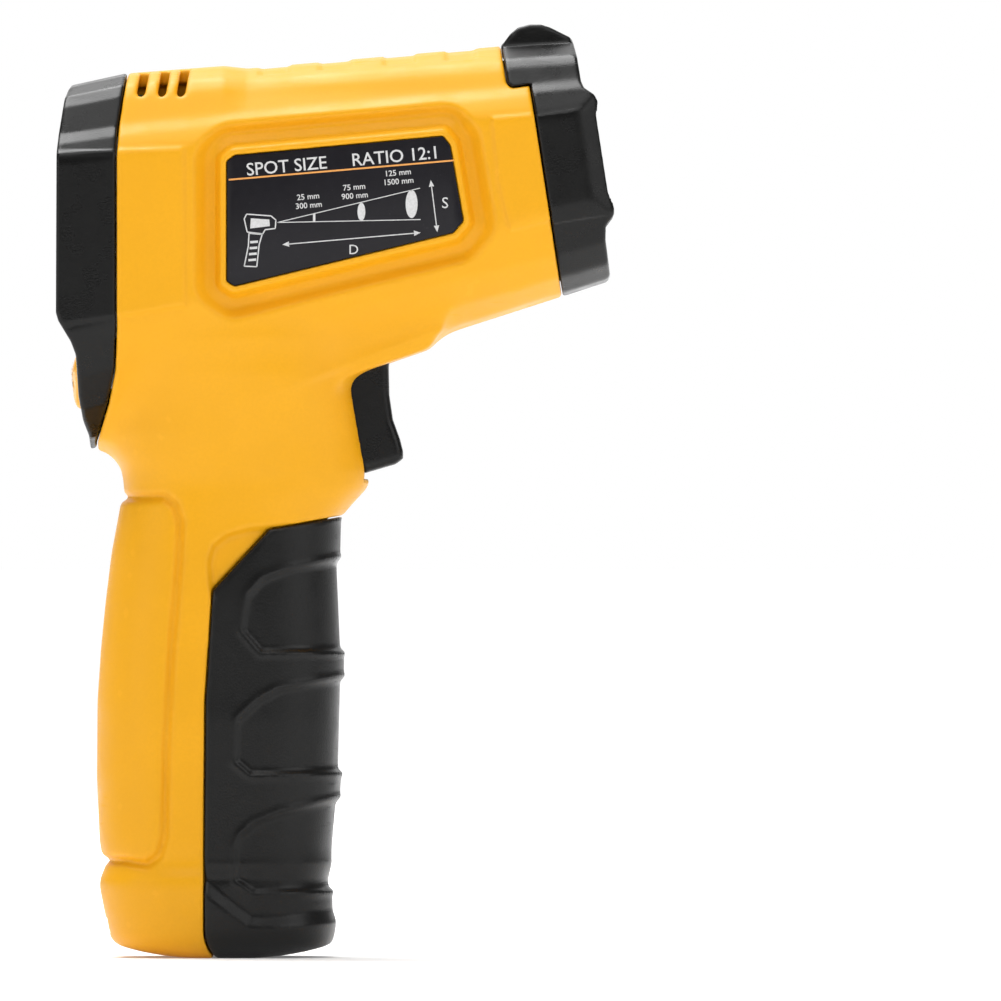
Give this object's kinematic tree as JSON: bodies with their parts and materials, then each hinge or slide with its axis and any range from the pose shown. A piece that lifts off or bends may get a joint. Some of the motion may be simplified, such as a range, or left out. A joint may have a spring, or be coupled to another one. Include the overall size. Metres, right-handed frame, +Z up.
{
  "type": "infrared thermometer",
  "caption": "Handheld pistol-grip infrared thermometer with a backlit rear display, push buttons, a pull trigger, an aiming laser and a battery door in the grip.",
  "frame": {"origin": "bottom centre of the bounding box, on the surface that the flat base of the grip rests on", "axes": "+Z up along the grip, +X towards the nose and the measured object, +Y to the left of someone holding it"},
  "size_m": [0.0934, 0.0432, 0.1566],
  "materials": {
    "yellow_plastic": "satin moulded ABS",
    "black_plastic": "fine-grained moulded ABS",
    "grip_plastic": "soft matt moulded plastic",
    "button_plastic": "smooth moulded plastic with printed legends",
    "label_film": "printed polyester label",
    "clear_window": "clear acrylic window with a dark printed border",
    "lcd": "liquid crystal cell, backlit",
    "white_plastic": "opal light guide",
    "lens_polyethylene": "milky moulded polyethylene lens",
    "circuit_board": "green solder mask",
    "rubber": "soft silicone",
    "steel": "zinc plated",
    "brass": "turned",
    "cell_can": "printed wrap over a metal can",
    "red_wire": "PVC insulation",
    "black_wire": "PVC insulation"
  },
  "bodies": {
    "case": {"housing_left": "yellow_plastic", "housing_right": "yellow_plastic", "label_left": "label_film", "label_right": "label_film", "display_hood": "black_plastic", "display_window": "clear_window", "lcd_frame": "white_plastic", "lcd_glass": "lcd", "lcd_backlight": "white_plastic", "zebra_strip": "rubber", "status_lamp": "black_plastic", "main_board": "circuit_board", "controller_chip": "black_plastic", "buzzer": "black_plastic", "switch_up": "steel", "switch_mode": "steel", "switch_down": "steel", "nose_hood": "black_plastic", "lens_ring": "black_plastic", "infrared_lens": "lens_polyethylene", "sensor_tube": "black_plastic", "infrared_sensor": "steel", "sensor_board": "circuit_board", "laser_module": "brass", "laser_window": "clear_window", "trigger_pin": "steel", "trigger_spring": "steel", "trigger_switch": "steel", "trigger_board": "circuit_board", "door_pin": "steel", "battery_holder": "black_plastic", "battery_a": "cell_can", "battery_b": "cell_can", "spring_a": "steel", "spring_b": "steel", "contact_bridge": "steel", "contact_positive": "steel", "contact_negative": "steel", "lead_positive": "red_wire", "lead_negative": "black_wire", "lead_laser": "red_wire", "lead_sensor": "black_wire", "lead_trigger": "black_wire", "case_screw_1": "steel", "case_screw_2": "steel", "case_screw_3": "steel", "case_screw_4": "steel"},
    "trigger": {"trigger": "black_plastic"},
    "trigger_contact": {"trigger_plunger": "black_plastic"},
    "up_key": {"button_up": "button_plastic", "plunger_up": "black_plastic"},
    "mode_key": {"button_mode": "button_plastic", "plunger_mode": "black_plastic"},
    "down_key": {"button_down": "button_plastic", "plunger_down": "black_plastic"},
    "door": {"battery_door": "grip_plastic"}
  },
  "joints": [
    {"name": "trigger_pull", "type": "hinge", "parent": "case", "child": "trigger", "pos_m": [0.00684, 0, 0.1028], "axis": [0, 1, 0], "range_deg": [0, 10], "stiffness_Nm_per_rad": 0.3, "springref_deg": -5.73, "deforming": ["trigger_spring"]},
    {"name": "trigger_contact_slide", "type": "slide", "parent": "case", "child": "trigger_contact", "axis": [0, 0, 1], "range_m": [0, 0.00095]},
    {"name": "up_press", "type": "slide", "parent": "case", "child": "up_key", "axis": [1, 0, 0], "range_m": [0, 0.0006], "stiffness_N_per_m": 1500},
    {"name": "mode_press", "type": "slide", "parent": "case", "child": "mode_key", "axis": [1, 0, 0], "range_m": [0, 0.0006], "stiffness_N_per_m": 1500},
    {"name": "down_press", "type": "slide", "parent": "case", "child": "down_key", "axis": [1, 0, 0], "range_m": [0, 0.0006], "stiffness_N_per_m": 1500},
    {"name": "battery_door_open", "type": "hinge", "parent": "case", "child": "door", "pos_m": [-0.01496, 0, 0.0048], "axis": [0, 1, 0], "range_deg": [0, 75]}
  ],
  "couplings": [
    {"joint": "trigger_contact_slide", "follows": "trigger_pull", "m_per_rad": 0.0051}
  ]
}
